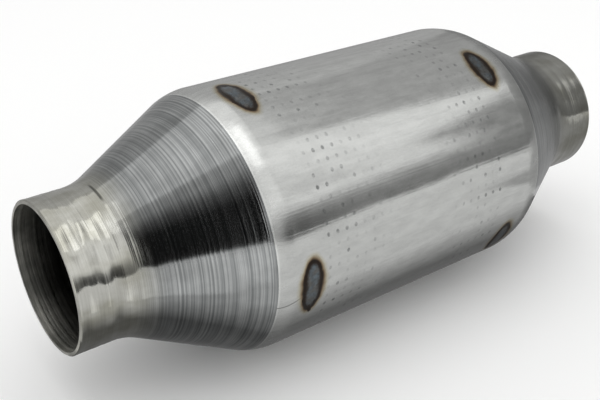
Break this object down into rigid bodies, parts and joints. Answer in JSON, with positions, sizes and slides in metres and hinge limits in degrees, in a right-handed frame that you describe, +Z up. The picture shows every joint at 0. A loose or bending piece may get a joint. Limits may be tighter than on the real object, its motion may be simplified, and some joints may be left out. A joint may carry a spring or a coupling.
{
  "type": "catalytic converter",
  "caption": "Round spun-steel catalytic converter with a straight pipe neck at each end, oval plug welds round both shoulders and a wound metal honeycomb inside.",
  "frame": {"origin": "centre of the inlet neck's mouth, on the can's axis", "axes": "+X along the can's axis in the flow direction, +Z up, the axis level as the part hangs in an exhaust line"},
  "size_m": [0.309, 0.124, 0.124],
  "materials": {
    "can_steel": "spun and lightly brushed stainless steel, bare",
    "mantle_steel": "plain rolled stainless steel, dull",
    "coated_foil": "thin steel foil with a dull grey-brown coating",
    "weld_metal": "rippled weld metal, oxidised dark"
  },
  "bodies": {
    "root": {"outer_can": "can_steel", "mantle_tube": "mantle_steel", "flat_foil": "coated_foil", "corrugated_foil": "coated_foil", "inlet_weld_1": "weld_metal", "inlet_weld_2": "weld_metal", "inlet_weld_3": "weld_metal", "inlet_weld_4": "weld_metal", "outlet_weld_1": "weld_metal", "outlet_weld_2": "weld_metal", "outlet_weld_3": "weld_metal", "outlet_weld_4": "weld_metal"}
  },
  "joints": []
}
